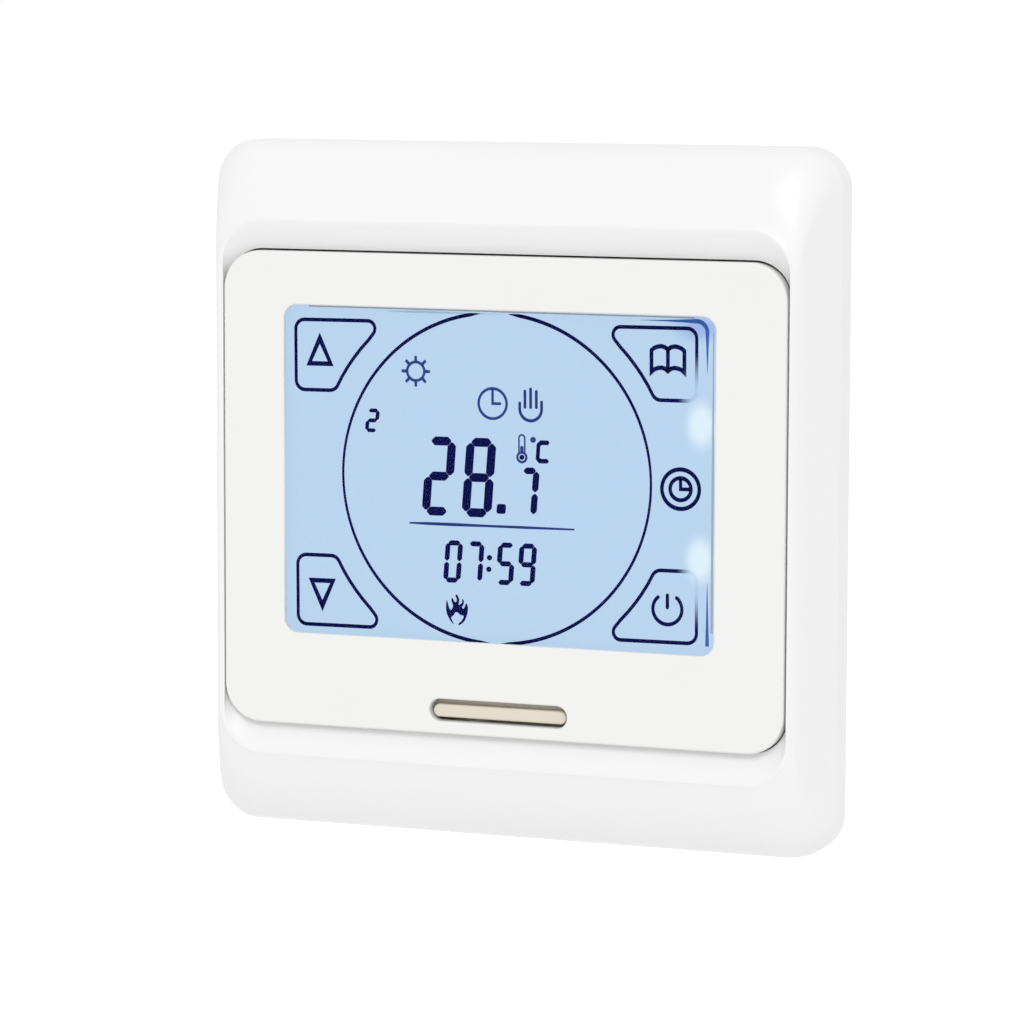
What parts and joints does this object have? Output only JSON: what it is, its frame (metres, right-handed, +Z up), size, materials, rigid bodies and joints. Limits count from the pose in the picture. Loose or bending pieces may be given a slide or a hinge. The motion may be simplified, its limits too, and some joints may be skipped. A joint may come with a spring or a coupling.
{
  "type": "wall thermostat",
  "caption": "Flush-mounted touch-screen heating thermostat: plug-on display module, decorative frame, steel mounting plate and power base with screw terminals.",
  "frame": {"origin": "middle of the wall plane that the mounting plate and the frame's rim lie on", "axes": "+X to the right and +Z up as the display is read, -Y out into the room, +Y into the wall box"},
  "size_m": [0.086, 0.043, 0.09],
  "materials": {
    "frame_plastic": "polished white moulding",
    "cover_plastic": "fine satin texture",
    "catch_plastic": "satin, natural cream",
    "touch_glass": "clear, smooth",
    "display": "lit pale blue behind smooth glass",
    "display_ink": "dark blue segments",
    "acrylic": "frosted acrylic",
    "led_resin": "smooth",
    "foam": "fine foam",
    "carrier_plastic": "satin",
    "zebra_rubber": "smooth",
    "circuit_board": "green solder mask",
    "chip_plastic": "matt moulding with tinned leads",
    "can_metal": "drawn and tinned",
    "sensor_bead": "dipped bead",
    "header_plastic": "matt",
    "pin_metal": "gilded",
    "back_plastic": "fine spark texture",
    "screw_steel": "zinc plated",
    "plate_steel": "galvanised sheet",
    "housing_plastic": "fine spark texture",
    "relay_plastic": "smooth",
    "coil_copper": "enamelled copper winding",
    "soft_iron": "nickel plated",
    "contact_brass": "rolled spring brass",
    "film_yellow": "smooth box",
    "sleeve_black": "shrink sleeve",
    "fuse_plastic": "smooth",
    "varistor_blue": "dipped epoxy",
    "diode_black": "smooth with tinned wires",
    "resistor_body": "lacquered",
    "terminal_plastic": "satin",
    "terminal_tin": "tinned brass"
  },
  "bodies": {
    "base": {"mounting_plate": "plate_steel", "plate_screws": "screw_steel", "base_cover": "housing_plastic", "rear_housing": "housing_plastic", "power_board": "circuit_board", "board_socket": "header_plastic", "relay_case": "relay_plastic", "relay_base": "relay_plastic", "relay_coil": "coil_copper", "relay_yoke": "soft_iron", "relay_contacts": "contact_brass", "film_capacitor": "film_yellow", "electrolytic_capacitors": "sleeve_black", "fuse": "fuse_plastic", "varistor": "varistor_blue", "regulator": "chip_plastic", "rectifier_diodes": "diode_black", "power_resistor": "resistor_body", "terminal_block": "terminal_plastic", "terminal_contacts": "terminal_tin"},
    "front_module": {"front_cover": "cover_plastic", "touch_gasket": "foam", "touch_panel": "touch_glass", "lcd_glass": "display", "light_guide": "acrylic", "backlight_leds": "led_resin", "display_carrier": "carrier_plastic", "zebra_connector": "zebra_rubber", "control_board": "circuit_board", "microcontroller": "chip_plastic", "quartz_crystal": "can_metal", "buzzer": "header_plastic", "backup_cell": "can_metal", "air_sensor": "sensor_bead", "header_base": "header_plastic", "header_pins": "pin_metal", "module_back": "back_plastic", "module_screws": "screw_steel"},
    "release_catch": {"release_catch": "catch_plastic"},
    "frame": {"decor_frame": "frame_plastic"},
    "armature": {"relay_armature": "soft_iron"},
    "screw_1": {"terminal_screw_1": "screw_steel"},
    "cage_1": {"terminal_cage_1": "terminal_tin"},
    "screw_2": {"terminal_screw_2": "screw_steel"},
    "cage_2": {"terminal_cage_2": "terminal_tin"},
    "screw_3": {"terminal_screw_3": "screw_steel"},
    "cage_3": {"terminal_cage_3": "terminal_tin"},
    "screw_4": {"terminal_screw_4": "screw_steel"},
    "cage_4": {"terminal_cage_4": "terminal_tin"},
    "screw_5": {"terminal_screw_5": "screw_steel"},
    "cage_5": {"terminal_cage_5": "terminal_tin"},
    "screw_6": {"terminal_screw_6": "screw_steel"},
    "cage_6": {"terminal_cage_6": "terminal_tin"}
  },
  "joints": [
    {"name": "module_pull", "type": "slide", "parent": "base", "child": "front_module", "axis": [0, -1, 0], "range_m": [0, 0.045]},
    {"name": "frame_lift", "type": "slide", "parent": "base", "child": "frame", "axis": [0, -1, 0], "range_m": [0, 0.0226]},
    {"name": "catch_press", "type": "hinge", "parent": "front_module", "child": "release_catch", "pos_m": [0, -0.0086, -0.024], "axis": [1, 0, 0], "range_deg": [0, 5], "stiffness_Nm_per_rad": 0.08, "springref_deg": -2.29},
    {"name": "armature_pull_in", "type": "hinge", "parent": "base", "child": "armature", "pos_m": [-0.0193, 0.0215, 0.011], "axis": [0, 0, -1], "range_deg": [0, 2.5], "stiffness_Nm_per_rad": 0.02, "springref_deg": -2.86},
    {"name": "screw_1_turn", "type": "hinge", "parent": "base", "child": "screw_1", "pos_m": [-0.01875, 0.0204, -0.0186], "axis": [0, -1, 0], "range_deg": [0, 1260.5]},
    {"name": "cage_1_rise", "type": "slide", "parent": "base", "child": "cage_1", "axis": [0, 1, 0], "range_m": [0, 0.00175]},
    {"name": "screw_2_turn", "type": "hinge", "parent": "base", "child": "screw_2", "pos_m": [-0.01125, 0.0204, -0.0186], "axis": [0, -1, 0], "range_deg": [0, 1260.5]},
    {"name": "cage_2_rise", "type": "slide", "parent": "base", "child": "cage_2", "axis": [0, 1, 0], "range_m": [0, 0.00175]},
    {"name": "screw_3_turn", "type": "hinge", "parent": "base", "child": "screw_3", "pos_m": [-0.00375, 0.0204, -0.0186], "axis": [0, -1, 0], "range_deg": [0, 1260.5]},
    {"name": "cage_3_rise", "type": "slide", "parent": "base", "child": "cage_3", "axis": [0, 1, 0], "range_m": [0, 0.00175]},
    {"name": "screw_4_turn", "type": "hinge", "parent": "base", "child": "screw_4", "pos_m": [0.00375, 0.0204, -0.0186], "axis": [0, -1, 0], "range_deg": [0, 1260.5]},
    {"name": "cage_4_rise", "type": "slide", "parent": "base", "child": "cage_4", "axis": [0, 1, 0], "range_m": [0, 0.00175]},
    {"name": "screw_5_turn", "type": "hinge", "parent": "base", "child": "screw_5", "pos_m": [0.01125, 0.0204, -0.0186], "axis": [0, -1, 0], "range_deg": [0, 1260.5]},
    {"name": "cage_5_rise", "type": "slide", "parent": "base", "child": "cage_5", "axis": [0, 1, 0], "range_m": [0, 0.00175]},
    {"name": "screw_6_turn", "type": "hinge", "parent": "base", "child": "screw_6", "pos_m": [0.01875, 0.0204, -0.0186], "axis": [0, -1, 0], "range_deg": [0, 1260.5]},
    {"name": "cage_6_rise", "type": "slide", "parent": "base", "child": "cage_6", "axis": [0, 1, 0], "range_m": [0, 0.00175]}
  ],
  "couplings": [
    {"joint": "frame_lift", "follows": "module_pull", "ratio": 0.5},
    {"joint": "screw_1_turn", "follows": "cage_1_rise", "rad_per_m": 12566},
    {"joint": "screw_2_turn", "follows": "cage_2_rise", "rad_per_m": 12566},
    {"joint": "screw_3_turn", "follows": "cage_3_rise", "rad_per_m": 12566},
    {"joint": "screw_4_turn", "follows": "cage_4_rise", "rad_per_m": 12566},
    {"joint": "screw_5_turn", "follows": "cage_5_rise", "rad_per_m": 12566},
    {"joint": "screw_6_turn", "follows": "cage_6_rise", "rad_per_m": 12566}
  ]
}
